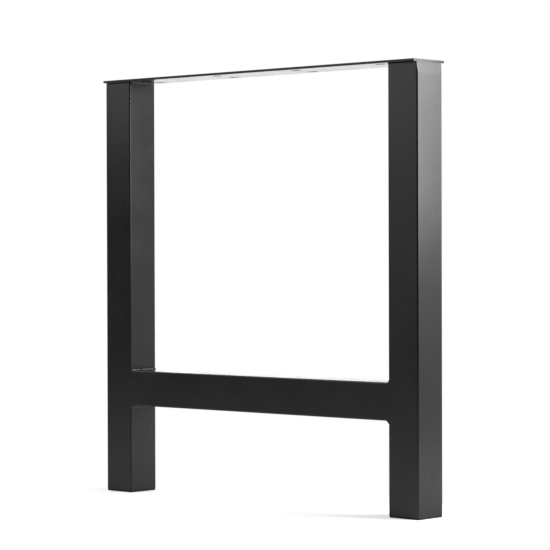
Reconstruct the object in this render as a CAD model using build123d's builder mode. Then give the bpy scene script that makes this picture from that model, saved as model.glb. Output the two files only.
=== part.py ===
from build123d import *
from math import hypot
import os

# Frame of a table leg, standing on the floor: X runs along its width, Y from front to back,
# Z up, and the origin is on the floor under the middle of the frame. Sizes are in millimetres.

# The whole frame
overall_height = 710.0  # floor to the top of the plate
overall_width = 700.0  # over the outer faces of the uprights

# Square steel tube of the uprights and the crossbar
tube_size = 60.0
tube_wall = 2.5
tube_corner = 3.0  # outer radius of the four long edges
bore_corner = 0.5  # inner radius of the four long edges
crossbar_clearance = 150.0  # floor to the underside of the crossbar

# Flat steel plate that is screwed to the table top
plate_thickness = 4.0
plate_overhang = 8.0  # past the tubes at the front and at the back
plate_corner = 1.5
plate_edge = 0.5  # chamfer of its top and bottom edges

# Slots of the plate, in columns along it and rows across it
slot_width = 9.0
slot_length = 20.0
slot_columns = 4
slot_rows = 2
slot_pitch = 178.0
slot_row_spacing = 40.0

# The outer face of each upright is ground back under the plate, flush with the plate's end
grind_depth = 1.5
grind_height = 12.0

# Welds
upper_leg = 3.5  # leg of the bead on top of the crossbar
lower_leg = 4.5  # leg of the bead under the crossbar
ripple_pitch = 4.0
ripple_height = 0.4
ripple_crest = 0.75  # where a ripple is highest, as a share of its pitch
plate_leg = 3.2  # leg of the bead under the plate
plate_bead_bulge = 0.2  # past the flat line between its toes, along and down

# Black plastic caps in the feet
cap_flange = 3.0  # thickness of the flange that the tube stands on
cap_round = 1.5  # radius of its bottom edge
cap_seam = 0.4  # chamfer of the edge that meets the tube
plug_depth = 20.0
plug_wall = 2.0
plug_gap = 1.5  # from the plug's walls to the inside of the tube
fin_count = 3
fin_thickness = 1.2
fin_clearance = 0.1

# Places that several pieces share
upright_x = (overall_width - tube_size) / 2
inner_face = overall_width / 2 - tube_size
tube_top = overall_height - plate_thickness
crossbar_middle = crossbar_clearance + tube_size / 2
crossbar_top = crossbar_clearance + tube_size
bore_size = tube_size - 2 * tube_wall

os.makedirs("parts", exist_ok=True)


def finish(piece, name):
    """Labels a finished piece and writes its file."""
    piece.part.label = name
    export_step(piece.part, f"parts/{name}.step")


def build_mounting_plate():
    """Flat plate with rows of slots, lying on the tops of the uprights."""
    with BuildPart() as plate:
        with BuildSketch(Plane.XY.offset(tube_top)):
            RectangleRounded(overall_width - 2 * grind_depth, tube_size + 2 * plate_overhang, plate_corner)
        extrude(amount=plate_thickness)
        levels = plate.edges().group_by(Axis.Z)
        chamfer(levels[0] + levels[-1], plate_edge)
        with BuildSketch(Plane.XY.offset(tube_top)):
            with GridLocations(slot_pitch, slot_row_spacing, slot_columns, slot_rows):
                SlotOverall(slot_length, slot_width)
        extrude(amount=plate_thickness, mode=Mode.SUBTRACT)
    return plate


def build_crossbar():
    """Square tube laid between the inner faces of the uprights."""
    with BuildPart() as tube:
        with BuildSketch(Plane.YZ):
            with Locations((0, crossbar_middle)):
                RectangleRounded(tube_size, tube_size, tube_corner)
                RectangleRounded(bore_size, bore_size, bore_corner, mode=Mode.SUBTRACT)
        extrude(amount=inner_face, both=True)
    return tube


def build_upright():
    """Right upright, a square tube from its foot cap to the plate, ground back at the top."""
    outer_face = overall_width / 2
    with BuildPart() as tube:
        with BuildSketch(Plane.XY.offset(cap_flange)):
            with Locations((upright_x, 0)):
                RectangleRounded(tube_size, tube_size, tube_corner)
                RectangleRounded(bore_size, bore_size, bore_corner, mode=Mode.SUBTRACT)
        extrude(amount=tube_top - cap_flange)
        with BuildSketch(Plane.XZ):
            with BuildLine():
                Polyline(
                    (outer_face, tube_top),
                    (outer_face - grind_depth, tube_top),
                    (outer_face, tube_top - grind_height),
                    close=True,
                )
            make_face()
        extrude(amount=tube_size / 2, both=True, mode=Mode.SUBTRACT)
    return tube


def build_crossbar_weld():
    """Weld round the crossbar's right end, rippled above and below, ground flush front and back.

    Each bead starts as a rippled rod from front to back. Its axis lies one leg inside both tubes,
    so the tubes, which are cut away last, leave the bead with that leg on each of them.
    """
    ripples = max(1, round(tube_size / ripple_pitch))
    pitch = tube_size / ripples
    fill_bottom = crossbar_clearance - lower_leg
    fill_top = crossbar_top + upper_leg
    with BuildPart() as weld:
        for leg, axis_height in (
            (upper_leg, crossbar_top - upper_leg),
            (lower_leg, crossbar_clearance + lower_leg),
        ):
            axis_start = (inner_face + leg, -tube_size / 2, axis_height)
            radius = hypot(leg, 2 * leg)
            outline = [(0, 0), (0, radius)]
            for n in range(ripples):
                outline.append(((n + ripple_crest) * pitch, radius + ripple_height))
                outline.append(((n + 1) * pitch, radius))
            with BuildSketch(Plane(origin=axis_start, x_dir=(0, 1, 0), z_dir=(0, 0, 1))):
                with BuildLine():
                    Polyline(*outline, (tube_size, 0), close=True)
                make_face()
            revolve(axis=Axis(axis_start, (0, 1, 0)))
        with BuildSketch(Plane.XZ):
            with Locations((inner_face, fill_bottom)):
                Rectangle(tube_corner, fill_top - fill_bottom, align=(Align.MIN, Align.MIN))
        extrude(amount=tube_size / 2, both=True)
        with BuildSketch(Plane.XY):
            with Locations((upright_x, 0)):
                RectangleRounded(tube_size, tube_size, tube_corner)
        extrude(amount=tube_top, mode=Mode.SUBTRACT)
        with BuildSketch(Plane.YZ):
            with Locations((0, crossbar_middle)):
                RectangleRounded(tube_size, tube_size, tube_corner)
        extrude(amount=inner_face, mode=Mode.SUBTRACT)
    return weld


def build_plate_weld():
    """Bead under the plate, along the flat of the right upright's inner face."""
    plate_toe = (inner_face - plate_leg, tube_top)
    tube_toe = (inner_face, tube_top - plate_leg)
    crown = (inner_face - plate_leg / 2 - plate_bead_bulge, tube_top - plate_leg / 2 - plate_bead_bulge)
    with BuildPart() as weld:
        with BuildSketch(Plane.XZ):
            with BuildLine():
                Polyline(plate_toe, (inner_face, tube_top), tube_toe)
                ThreePointArc(tube_toe, crown, plate_toe)
            make_face()
        extrude(amount=tube_size / 2 - tube_corner, both=True)
    return weld


def build_foot_cap():
    """Right foot's moulded cap: a flange under the tube and a hollow plug with fins inside it."""
    plug_size = bore_size - 2 * plug_gap
    fin_size = bore_size - 2 * fin_clearance
    fin_pitch = plug_depth / (fin_count + 1)
    with BuildPart() as cap:
        with BuildSketch():
            with Locations((upright_x, 0)):
                RectangleRounded(tube_size, tube_size, tube_corner)
        extrude(amount=cap_flange)
        fillet(cap.edges().group_by(Axis.Z)[0], cap_round)
        chamfer(cap.edges().group_by(Axis.Z)[-1], cap_seam)
        with BuildSketch(Plane.XY.offset(cap_flange)):
            with Locations((upright_x, 0)):
                RectangleRounded(plug_size, plug_size, bore_corner)
                Rectangle(plug_size - 2 * plug_wall, plug_size - 2 * plug_wall, mode=Mode.SUBTRACT)
        extrude(amount=plug_depth)
        for n in range(1, fin_count + 1):
            with BuildSketch(Plane.XY.offset(cap_flange + n * fin_pitch)):
                with Locations((upright_x, 0)):
                    RectangleRounded(fin_size, fin_size, bore_corner)
                    Rectangle(plug_size - plug_wall, plug_size - plug_wall, mode=Mode.SUBTRACT)
            extrude(amount=fin_thickness)
    return cap


finish(build_mounting_plate(), "mounting_plate")
finish(build_crossbar(), "crossbar")
for build_right, name in (
    (build_upright, "upright"),
    (build_crossbar_weld, "crossbar_weld"),
    (build_plate_weld, "plate_weld"),
    (build_foot_cap, "foot_cap"),
):
    right_piece = build_right()
    finish(right_piece, f"right_{name}")
    with BuildPart() as left_piece:
        mirror(right_piece.part, about=Plane.YZ)
    finish(left_piece, f"left_{name}")
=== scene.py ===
from math import cos, pi, radians, sin, sqrt

import bmesh
import bpy
from mathutils import Euler, Matrix, Vector, noise


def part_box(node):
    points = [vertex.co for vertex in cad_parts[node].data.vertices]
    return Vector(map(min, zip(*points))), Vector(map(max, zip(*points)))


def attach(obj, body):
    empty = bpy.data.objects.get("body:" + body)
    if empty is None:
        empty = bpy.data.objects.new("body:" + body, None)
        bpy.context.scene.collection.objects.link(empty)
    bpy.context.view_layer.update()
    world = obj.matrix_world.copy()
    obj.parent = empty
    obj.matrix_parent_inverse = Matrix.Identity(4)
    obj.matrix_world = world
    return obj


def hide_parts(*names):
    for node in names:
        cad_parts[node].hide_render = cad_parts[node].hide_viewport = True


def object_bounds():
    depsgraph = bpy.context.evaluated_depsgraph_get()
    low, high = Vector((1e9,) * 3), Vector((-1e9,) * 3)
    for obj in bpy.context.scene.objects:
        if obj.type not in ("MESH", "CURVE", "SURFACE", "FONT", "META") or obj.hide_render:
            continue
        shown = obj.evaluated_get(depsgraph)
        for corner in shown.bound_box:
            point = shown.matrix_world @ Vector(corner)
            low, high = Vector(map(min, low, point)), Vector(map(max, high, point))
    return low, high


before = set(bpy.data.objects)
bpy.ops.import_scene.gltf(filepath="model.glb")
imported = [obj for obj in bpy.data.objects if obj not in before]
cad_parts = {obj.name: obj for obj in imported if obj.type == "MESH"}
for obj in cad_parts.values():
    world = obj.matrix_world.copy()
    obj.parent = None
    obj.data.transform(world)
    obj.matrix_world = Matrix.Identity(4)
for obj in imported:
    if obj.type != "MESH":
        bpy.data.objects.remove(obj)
cad_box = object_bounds()

# Camera, in front of the frame and to its right, almost four metres away behind a long lens.
# Its place, turn and lens were fitted to the edges of the frame in the photograph. Lengths are in
# metres throughout, apart from those of the lens and the sensor in millimetres.
camera_place = (2.6833, -2.8552, 0.4152)
camera_turn = radians(42.986)
camera_tilt = radians(-0.582)
camera_roll = radians(-0.166)
camera_lens = 155.874
camera_sensor = 36.0
camera_sight = 100.0

camera = bpy.data.objects.new("camera", bpy.data.cameras.new("camera"))
camera.data.sensor_width = camera_sensor
camera.data.lens = camera_lens
camera.data.clip_end = camera_sight
camera.location = camera_place
level_view = Euler((radians(90) + camera_tilt, 0, camera_turn)).to_matrix()
camera.rotation_euler = (level_view @ Matrix.Rotation(camera_roll, 3, "Z")).to_euler()
bpy.context.scene.collection.objects.link(camera)
bpy.context.scene.camera = camera
bpy.context.scene.view_settings.view_transform = "Standard"

# Studio floor, a sheet of matt white paper that runs on to the horizon and keeps the soft shadow of
# the feet. Away from them it is lifted to white for the camera, and behind the frame for its gloss.
floor_reach = 40.0
floor_sides = 96
floor_gap = 0.0002  # from the feet down to the paper
floor_grey = 0.8
floor_lift = 0.45  # how far the paper by the feet is lifted to white
foot_place = 0.32  # from the middle of the frame to the middle of a foot
left_foot_shade = (0.02, 0.12)  # distances from the foot's middle between which its shadow fades out
right_foot_shade = (0.10, 0.31)
behind_turn = radians(133)  # away from the camera
behind_range = (0.2, 0.9)  # distances that way between which the paper brightens for the gloss
behind_level = 0.7


def new_material(name):
    """Material with nodes, and its node tree and main shader at hand."""
    material = bpy.data.materials.new(name)
    material.use_nodes = True
    return material, material.node_tree, material.node_tree.nodes["Principled BSDF"]


def link_object(name, mesh_data):
    """Puts a mesh into the scene as an object of its own, at the origin."""
    placed = bpy.data.objects.new(name, mesh_data)
    bpy.context.scene.collection.objects.link(placed)
    return placed


def blend(tree, value, low, high, to_low=0.0, to_high=1.0):
    """Output that rises smoothly from one level to another while the value goes from low to high."""
    ramp = tree.nodes.new("ShaderNodeMapRange")
    ramp.interpolation_type = "SMOOTHSTEP"
    ramp.inputs["From Min"].default_value = low
    ramp.inputs["From Max"].default_value = high
    ramp.inputs["To Min"].default_value = to_low
    ramp.inputs["To Max"].default_value = to_high
    tree.links.new(value, ramp.inputs["Value"])
    return ramp.outputs["Result"]


def combine(tree, operation, first, second):
    """Output of one step of sums on two values, of which the second may be a plain number."""
    step = tree.nodes.new("ShaderNodeMath")
    step.operation = operation
    tree.links.new(first, step.inputs[0])
    if isinstance(second, float):
        step.inputs[1].default_value = second
    else:
        tree.links.new(second, step.inputs[1])
    return step.outputs[0]


def floor_paper():
    """Matt white paper, which away from the feet turns into an even white for the camera."""
    material, tree, shader = new_material("floor_paper")
    shader.inputs["Roughness"].default_value = 1.0
    shader.inputs["Specular IOR Level"].default_value = 0.0
    shader.inputs["Emission Color"].default_value = (1, 1, 1, 1)
    place = tree.nodes.new("ShaderNodeTexCoord").outputs["Object"]
    rays = tree.nodes.new("ShaderNodeLightPath")

    def measure(operation, second):
        """Output of one step of vector sums on the place on the paper and a second vector."""
        step = tree.nodes.new("ShaderNodeVectorMath")
        step.operation = operation
        step.inputs[1].default_value = second
        tree.links.new(place, step.inputs[0])
        return step.outputs["Value"]

    from_left = blend(tree, measure("DISTANCE", (-foot_place, 0, 0)), *left_foot_shade)
    from_right = blend(tree, measure("DISTANCE", (foot_place, 0, 0)), *right_foot_shade)
    plain = combine(tree, "MINIMUM", from_left, from_right)
    hidden = combine(tree, "MULTIPLY", plain, rays.outputs["Is Camera Ray"])
    tree.links.new(blend(tree, hidden, 0.0, 1.0, floor_grey, 0.0), shader.inputs["Base Color"])
    backwards = measure("DOT_PRODUCT", (cos(behind_turn), sin(behind_turn), 0))
    behind = blend(tree, backwards, *behind_range, 0.0, behind_level)
    in_gloss = combine(tree, "MULTIPLY", behind, rays.outputs["Is Glossy Ray"])
    seen = combine(tree, "MAXIMUM", rays.outputs["Is Camera Ray"], in_gloss)
    lift = blend(tree, plain, 0.0, 1.0, floor_lift, 1.0)
    tree.links.new(combine(tree, "MULTIPLY", lift, seen), shader.inputs["Emission Strength"])
    return material


floor_mesh = bmesh.new()
bmesh.ops.create_circle(floor_mesh, cap_ends=True, segments=floor_sides, radius=floor_reach)
bmesh.ops.translate(floor_mesh, vec=(0, 0, cad_box[0].z - floor_gap), verts=floor_mesh.verts)
floor_data = bpy.data.meshes.new("floor")
floor_mesh.to_mesh(floor_data)
floor_mesh.free()
floor_data.materials.append(floor_paper())
link_object("floor", floor_data)

# Studio light. The room is white to the camera and almost black to everything else. Soft boxes light
# the frame from its right and from above, weaker ones from its left and in front, and two from behind.
# Each has its turn and rise in degrees, its distance from where it aims, and its power in watts.
room_level = 0.01
lamp_aim = Vector((0, 0, 0.4))
box_width = 0.8
box_height = 1.2

world = bpy.data.worlds.new("studio")
bpy.context.scene.world = world
world.use_nodes = True
room_rays = world.node_tree.nodes.new("ShaderNodeLightPath")
room = world.node_tree.nodes["Background"]
room.inputs["Color"].default_value = (1, 1, 1, 1)
room_white = combine(world.node_tree, "MAXIMUM", room_rays.outputs["Is Camera Ray"], room_level)
world.node_tree.links.new(room_white, room.inputs["Strength"])


def soft_box(name, turn, rise, distance, power, width=box_width, height=box_height):
    """Soft box facing the middle of the frame, at a turn from the X axis and a rise in degrees."""
    lamp = bpy.data.lights.new(name, "AREA")
    lamp.shape = "RECTANGLE"
    lamp.size = width
    lamp.size_y = height
    lamp.energy = power
    box = bpy.data.objects.new(name, lamp)
    towards = Euler((0, radians(-rise), radians(turn))).to_matrix() @ Vector((1, 0, 0))
    box.location = lamp_aim + distance * towards
    box.rotation_euler = (-towards).to_track_quat("-Z", "Y").to_euler()
    box.visible_camera = False
    bpy.context.scene.collection.objects.link(box)


for name, turn, rise, distance, power in (
    ("key_box", 25, 25, 1.4, 23),
    ("key_top_box", 25, 38, 1.4, 6),
    ("key_low_box", 25, 15, 1.4, 2.5),
    ("side_low_box", 50, 5, 1.4, 1.4),
    ("left_high_box", 180, 45, 1.5, 6),
    ("top_box", 0, 85, 1.8, 6),
    ("front_box", 227, 25, 2.0, 2.7),
    ("front_high_box", 240, 40, 2.0, 10.5),
    ("front_low_box", 240, 12, 2.0, 1.8),
    ("front_left_box", 212, 25, 2.0, 1.6),
):
    soft_box(name, turn, rise, distance, power)
soft_box("back_box", 133, 14, 2.8, 25, 3.4, 1.6)
soft_box("bar_box", 133, -5, 1.3, 1.4, 1.2, 0.25)

# Uprights, two lengths of square steel tube with rounded long edges, powder-coated satin black.
# The outer face of each is ground back under the plate until it is flush with the plate's end.
tube_corner = 0.0024
tube_wall = 0.0022
corner_steps = 12
foot_rim = 0.0005
top_rim = 0.0008
rim_steps = 3
grind_depth = 0.0015
grind_height = 0.02
grind_rows = 16
sharp_angle = radians(35)
coat_dark = (0.0052, 0.0052, 0.0055, 1)
coat_light = (0.008, 0.008, 0.0084, 1)
coat_roughness = (0.24, 0.28)
grain_scale = 700
patch_scale = 18
patch_range = (0.3, 0.7)
rolling_depth = 0.00008
peel_scale = 330
peel_depth = 0.00001
upright_waves = (45, 45, 2)  # in the rolled steel, per metre along X, Y and Z


def pattern(tree, scale, detail, stretch=(1, 1, 1)):
    """Noise fixed to the piece, finer with a larger scale."""
    place = tree.nodes.new("ShaderNodeTexCoord")
    mapping = tree.nodes.new("ShaderNodeMapping")
    mapping.inputs["Scale"].default_value = stretch
    texture = tree.nodes.new("ShaderNodeTexNoise")
    texture.inputs["Scale"].default_value = scale
    texture.inputs["Detail"].default_value = detail
    tree.links.new(place.outputs["Object"], mapping.inputs["Vector"])
    tree.links.new(mapping.outputs["Vector"], texture.inputs["Vector"])
    return texture.outputs["Fac"]


def relief(tree, height, depth, below=None):
    """Normal of a surface that the height raises by up to the depth, over any relief below it."""
    bump = tree.nodes.new("ShaderNodeBump")
    bump.inputs["Distance"].default_value = depth
    tree.links.new(height, bump.inputs["Height"])
    if below:
        tree.links.new(below, bump.inputs["Normal"])
    return bump.outputs["Normal"]


def mottle(tree, shader, dark, light, roughness):
    """Varies the colour in fine grains, and the roughness in soft patches."""
    tint = tree.nodes.new("ShaderNodeMix")
    tint.data_type = "RGBA"
    tint.inputs["A"].default_value = dark
    tint.inputs["B"].default_value = light
    tree.links.new(pattern(tree, grain_scale, 3), tint.inputs["Factor"])
    tree.links.new(tint.outputs["Result"], shader.inputs["Base Color"])
    patches = blend(tree, pattern(tree, patch_scale, 4), *patch_range, *roughness)
    tree.links.new(patches, shader.inputs["Roughness"])


def powder_coat(name, steel_waves):
    """Satin black powder coat with a fine orange peel, over steel that waves slightly from rolling."""
    material, tree, shader = new_material(name)
    mottle(tree, shader, coat_dark, coat_light, coat_roughness)
    rolled = relief(tree, pattern(tree, 1, 1, steel_waves), rolling_depth)
    peeled = relief(tree, pattern(tree, peel_scale, 2), peel_depth, rolled)
    tree.links.new(peeled, shader.inputs["Normal"])
    return material


def smooth_rise(share):
    """Rises softly from 0 to 1 as the share does, and stays at either outside it."""
    held = min(1.0, max(0.0, share))
    return held * held * (3 - 2 * held)


def round_off(shape, parts, radius, steps, affect="EDGES"):
    """Rounds some edges of a shape, or the corners of a flat one."""
    bmesh.ops.bevel(
        shape, geom=parts, offset=radius, offset_type="OFFSET", affect=affect,
        segments=steps, profile=0.5, material=-1,
    )


def square_tube(low, high, along):
    """Tube that fills the box from low to high, open at both ends, with its length along that axis."""
    tube = bmesh.new()
    bmesh.ops.create_cube(tube, size=1, matrix=Matrix.LocRotScale((low + high) / 2, None, high - low))
    long_edges = [e for e in tube.edges if e.verts[0].co[along] != e.verts[1].co[along]]
    round_off(tube, long_edges, tube_corner, corner_steps)
    tube.normal_update()
    ends = [f for f in tube.faces if abs(f.normal[along]) > 0.9]
    bmesh.ops.inset_individual(tube, faces=ends, thickness=tube_wall, use_even_offset=True)
    bore = [e for f in ends for e in f.edges]
    bmesh.ops.delete(tube, geom=ends, context="FACES_ONLY")
    bmesh.ops.bridge_loops(tube, edges=bore)
    return tube


def finish_piece(shape, name, material, node):
    """Makes the shape a piece of the frame, smooth over its round edges and sharp at the others."""
    bmesh.ops.recalc_face_normals(shape, faces=shape.faces)
    mesh = bpy.data.meshes.new(name)
    shape.to_mesh(mesh)
    shape.free()
    mesh.shade_smooth()
    mesh.set_sharp_from_angle(angle=sharp_angle)
    mesh.materials.append(material)
    piece = link_object(name, mesh)
    flats = piece.modifiers.new("flats", "WEIGHTED_NORMAL")
    flats.keep_sharp = True
    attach(piece, "root")
    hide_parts(node)


upright_coat = powder_coat("upright_coat", upright_waves)
for side, outward in (("left", -1), ("right", 1)):
    low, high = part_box(f"{side}_upright")
    upright = square_tube(low, high, 2)
    axis = (low + high) / 2
    for level, rim in ((low.z, foot_rim), (high.z, top_rim)):
        rim_edges = [e for e in upright.edges if all(
            abs(v.co.z - level) < tube_wall / 10
            and max(abs(v.co.x - axis.x), abs(v.co.y - axis.y)) > high.y - tube_wall / 2
            for v in e.verts
        )]
        round_off(upright, rim_edges, rim, rim_steps)
    for n in range(1, grind_rows + 1):
        bmesh.ops.bisect_plane(
            upright, geom=upright.verts[:] + upright.edges[:] + upright.faces[:],
            plane_co=(0, 0, high.z - grind_height * n / grind_rows), plane_no=(0, 0, 1),
        )
    for vert in upright.verts:
        depth = grind_depth * smooth_rise((vert.co.z - high.z + grind_height) / grind_height)
        vert.co.x = outward * min(outward * vert.co.x, max(-low.x, high.x) - depth)
    finish_piece(upright, f"{side}_upright_tube", upright_coat, f"{side}_upright")

# Crossbar, a length of the same tube between the inner faces of the uprights. It is sawn square,
# welded all round and coated together with them.
crossbar_waves = (2, 45, 45)

crossbar_coat = powder_coat("crossbar_coat", crossbar_waves)
bar_low, bar_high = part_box("crossbar")
finish_piece(square_tube(bar_low, bar_high, 0), "crossbar_tube", crossbar_coat, "crossbar")

# Welds round the ends of the crossbar, run by hand in steel and coated with the frame. The beads
# above and below keep their ripples, and those at the front and back are ground flush.
upper_leg = 0.0035
upper_bulge = 0.24
upper_ripple = 0.00055
upper_end = 0.4
upper_seed = 1.0
lower_leg = 0.0045
lower_bulge = -0.1
lower_ripple = 0.0001
lower_end = 0.9
lower_seed = 5.0
end_taper = 0.006  # length over which a bead's end grows to its full size
corner_climb = 0.4  # how far the beads' roots follow the tubes' rounded edges outwards
bead_steps = 12
ripple_pitch = 0.004
ripple_steps = 8
ripple_lean = 1.4  # over 1 puts the crest late in its ripple
crescent = 0.0016  # how far a ripple's ends run ahead of its middle
uneven_pace = 0.4  # how fast the ripples grow uneven along the bead
uneven_shift = 0.3  # how far that moves their crests
weld_waves = (60, 60, 60)
in_root = 2.0  # marks the root of a bead, where -1 to 1 marks the places across its open face


def bead_section(leg, bulge, corner, out_x, out_z, depth):
    """Section of a bead in a corner: its open face from one toe to the other, and its root beneath.

    The bulge is how far the middle of the open face stands out from the line between its toes, as a
    share of the leg. Each place comes with its share across the face, -1 to 1, or in_root.
    """
    section = []
    for n in range(bead_steps + 1):
        share = n / bead_steps
        swell = bulge * leg * sin(pi * share) / sqrt(2)
        out, up = leg * share + swell, leg * (1 - share) + swell
        section.append(((corner.x + out_x * out, corner.y, corner.z + out_z * up), 2 * share - 1))
    for x, z in ((leg, -depth), (-depth, -depth), (-depth, leg)):
        section.append(((corner.x + out_x * x, corner.y, corner.z + out_z * z), in_root))
    return section


def bead_size(from_end, end_size):
    """Size of a bead at a distance from its end, which grows from end_size to 1."""
    return end_size + (1 - end_size) * smooth_rise(from_end / end_taper)


def straight_bead(section, corner, length, seed, ripple, end_size):
    """Bead that runs back from the section at its front end, with a ripple for each step of the torch."""
    bead = bmesh.new()
    across = bead.verts.layers.float.new("across")
    for place, share in section:
        bead.verts.new(place)[across] = share
    rim = list(bead.faces.new(bead.verts).edges)
    steps = round(length / ripple_pitch) * ripple_steps
    for _ in range(steps):
        grown = bmesh.ops.extrude_edge_only(bead, edges=rim)["geom"]
        rim = [part for part in grown if isinstance(part, bmesh.types.BMEdge)]
        ring = [part for part in grown if isinstance(part, bmesh.types.BMVert)]
        bmesh.ops.translate(bead, vec=(0, length / steps, 0), verts=ring)
    bmesh.ops.contextual_create(bead, geom=rim)
    bmesh.ops.recalc_face_normals(bead, faces=bead.faces)
    bead.normal_update()
    normals = {vert: vert.normal.copy() for vert in bead.verts}
    for vert, normal in normals.items():
        lead = vert[across]
        if lead == in_root:
            continue
        travelled = vert.co.y - corner.y
        size = bead_size(min(travelled, length - travelled), end_size)
        vert.co.x = corner.x + (vert.co.x - corner.x) * size
        vert.co.z = corner.z + (vert.co.z - corner.z) * size
        phase = (travelled - crescent * lead * lead) / ripple_pitch
        uneven = noise.noise(Vector((phase * uneven_pace, seed, 0)))
        crest = ((phase + uneven_shift * uneven) % 1) ** ripple_lean
        lift = ripple * (1 - lead ** 2) * ((1 + uneven) * (1 - cos(2 * pi * crest)) / 2 + uneven)
        vert.co += lift * Vector((normal.x, 0, normal.z))
    return bead, across


def take_in(whole, part):
    """Adds a part's faces to the whole, and frees the part."""
    bmesh.ops.recalc_face_normals(part, faces=part.faces)
    held = bpy.data.meshes.new("held")
    part.to_mesh(held)
    part.free()
    whole.from_mesh(held)
    bpy.data.meshes.remove(held)


def corner_drop(distance):
    """How far a tube's rounded edge falls away at a distance in from where the edge would be square."""
    inside = min(tube_corner, max(0.0, tube_corner - distance))
    return tube_corner - sqrt(tube_corner ** 2 - inside ** 2)


weld_coat = powder_coat("weld_coat", weld_waves)
half_depth = bar_high.y
for side, inward in (("left", 1), ("right", -1)):
    joint_x = bar_low.x if inward > 0 else bar_high.x
    weld = bmesh.new()
    for leg, bulge, ripple, end_size, face_z, out_z, seed in (
        (upper_leg, upper_bulge, upper_ripple, upper_end, bar_high.z, 1, upper_seed + inward),
        (lower_leg, lower_bulge, lower_ripple, lower_end, bar_low.z, -1, lower_seed + inward),
    ):
        corner = Vector((joint_x, -half_depth, face_z))
        section = bead_section(leg, bulge, corner, inward, out_z, tube_corner)
        bead, across = straight_bead(section, corner, 2 * half_depth, seed, ripple, end_size)
        for vert in bead.verts:
            if vert[across] != in_root:
                continue
            from_end = half_depth - abs(vert.co.y)
            reach = leg * bead_size(from_end, end_size) + corner_climb * corner_drop(from_end)
            if (vert.co.z - corner.z) * out_z > 0:
                vert.co.z = corner.z + out_z * reach
            if (vert.co.x - corner.x) * inward > 0:
                vert.co.x = corner.x + inward * reach
        take_in(weld, bead)
    for front in (-1, 1):
        flush = bmesh.new()
        inset = tube_corner / 2
        middle = Vector((
            joint_x - inward * inset, front * (half_depth - inset), (bar_low.z + bar_high.z) / 2,
        ))
        size = Vector((tube_corner, tube_corner, bar_high.z - bar_low.z - 2 * tube_corner))
        bmesh.ops.create_cube(flush, size=1, matrix=Matrix.LocRotScale(middle, None, size))
        take_in(weld, flush)
    finish_piece(weld, f"{side}_crossbar_bead", weld_coat, f"{side}_crossbar_weld")

# Mounting plate, flat steel with two rows of slots for the screws into the table top. Its long edges
# are sheared, which slants them and rolls them over at the bottom. It is welded to the uprights.
plate_corner = 0.0015
plate_corner_steps = 5
shear_slant = 0.0002
burr_round = 0.0003
roll_round = 0.0008
edge_angle = radians(60)
slot_width = 0.009
slot_length = 0.020
slot_round = 0.0004
slot_sides = 32
slot_columns = 4
slot_pitch = 0.178
slot_row_spacing = 0.040
plate_waves = (3, 30, 30)

plate_coat = powder_coat("plate_coat", plate_waves)
plate_low, plate_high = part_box("mounting_plate")
plate = bmesh.new()
size = plate_high - plate_low
middle = (plate_low + plate_high) / 2
bmesh.ops.create_grid(plate, x_segments=1, y_segments=1, size=0.5)
bmesh.ops.scale(plate, vec=(size.x, size.y, 1), verts=plate.verts)
round_off(plate, plate.verts[:], plate_corner, plate_corner_steps, affect="VERTICES")
bmesh.ops.delete(plate, geom=plate.faces[:], context="FACES_ONLY")
for column in range(slot_columns):
    for row in (-1, 1):
        slot_x = (column - (slot_columns - 1) / 2) * slot_pitch
        ring = bmesh.ops.create_circle(
            plate, segments=slot_sides, radius=slot_width / 2,
            matrix=Matrix.Rotation(pi / slot_sides, 4, "Z"),
        )["verts"]
        for vert in ring:
            stretch = (slot_length - slot_width) / 2 * (1 if vert.co.x > 0 else -1)
            vert.co += Vector((slot_x + stretch, row * slot_row_spacing / 2, 0))
bmesh.ops.triangle_fill(plate, edges=plate.edges[:], use_beauty=True, normal=(0, 0, 1))
raised = bmesh.ops.extrude_face_region(plate, geom=plate.faces[:])["geom"]
top_verts = [part for part in raised if isinstance(part, bmesh.types.BMVert)]
bmesh.ops.translate(plate, vec=(0, 0, size.z), verts=top_verts)
for vert in plate.verts:
    if vert not in top_verts and abs(vert.co.y) > size.y / 2 - plate_corner:
        vert.co.y -= shear_slant * (1 if vert.co.y > 0 else -1)
bmesh.ops.translate(plate, vec=(middle.x, middle.y, plate_low.z), verts=plate.verts)
bmesh.ops.recalc_face_normals(plate, faces=plate.faces)
rims = [e for e in plate.edges if len(e.link_faces) == 2 and e.calc_face_angle() > edge_angle]
past_slots_x = slot_pitch * slot_columns / 2 - slot_length
past_slots_y = slot_row_spacing / 2 + slot_width
outer_rims = [
    e for e in rims if abs(e.verts[0].co.x) > past_slots_x or abs(e.verts[0].co.y) > past_slots_y
]
slot_rims = [e for e in rims if e not in outer_rims]
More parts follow.
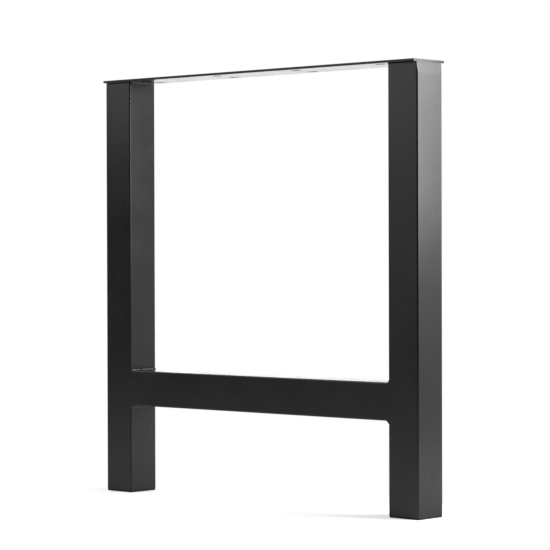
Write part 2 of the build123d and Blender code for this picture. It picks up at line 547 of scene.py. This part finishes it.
flush_rims = [e for e in outer_rims if all(
    v.co.z < middle.z and abs(v.co.x) > plate_high.x - plate_corner / 10 for v in e.verts
)]
top_rims = [e for e in outer_rims if all(v.co.z > middle.z for v in e.verts)]
bottom_rims = [e for e in outer_rims if e not in flush_rims and all(v.co.z < middle.z for v in e.verts)]
for edges, radius in ((top_rims, burr_round), (bottom_rims, roll_round), (slot_rims, slot_round)):
    round_off(plate, edges, radius, rim_steps)
finish_piece(plate, "slotted_plate", plate_coat, "mounting_plate")

# Welds under the plate, a rippled bead along the inner face of each upright. The outer joint is
# ground flush, and the front and back are left open.
plate_bead_bulge = 0.2
plate_bead_ripple = 0.0003
plate_bead_end = 0.7
plate_bead_root = 0.0005
plate_bead_seed = 9.0

for side, inward in (("left", 1), ("right", -1)):
    low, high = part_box(f"{side}_plate_weld")
    plate_leg = high.z - low.z
    corner = Vector((low.x if inward > 0 else high.x, low.y, high.z))
    section = bead_section(plate_leg, plate_bead_bulge, corner, inward, -1, plate_bead_root)
    bead, _ = straight_bead(
        section, corner, high.y - low.y, plate_bead_seed + inward, plate_bead_ripple, plate_bead_end
    )
    finish_piece(bead, f"{side}_plate_bead", weld_coat, f"{side}_plate_weld")

# Foot caps, moulded in black plastic with a grained face, pushed into the open ends of the tubes.
# Fins round each plug hold it, and the tube stands on the flange.
cap_dark = (0.004, 0.004, 0.004, 1)
cap_light = (0.007, 0.007, 0.007, 1)
cap_roughness = (0.5, 0.62)
sink_scale = 40
sink_depth = 0.0001
mould_grain_scale = 900
mould_grain_depth = 0.00004

cap_plastic, cap_tree, cap_shader = new_material("cap_plastic")
mottle(cap_tree, cap_shader, cap_dark, cap_light, cap_roughness)
sunk = relief(cap_tree, pattern(cap_tree, sink_scale, 1), sink_depth)
grained = relief(cap_tree, pattern(cap_tree, mould_grain_scale, 2), mould_grain_depth, sunk)
cap_tree.links.new(grained, cap_shader.inputs["Normal"])
for side in ("left", "right"):
    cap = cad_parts[f"{side}_foot_cap"]
    cap.data.materials.clear()
    cap.data.materials.append(cap_plastic)
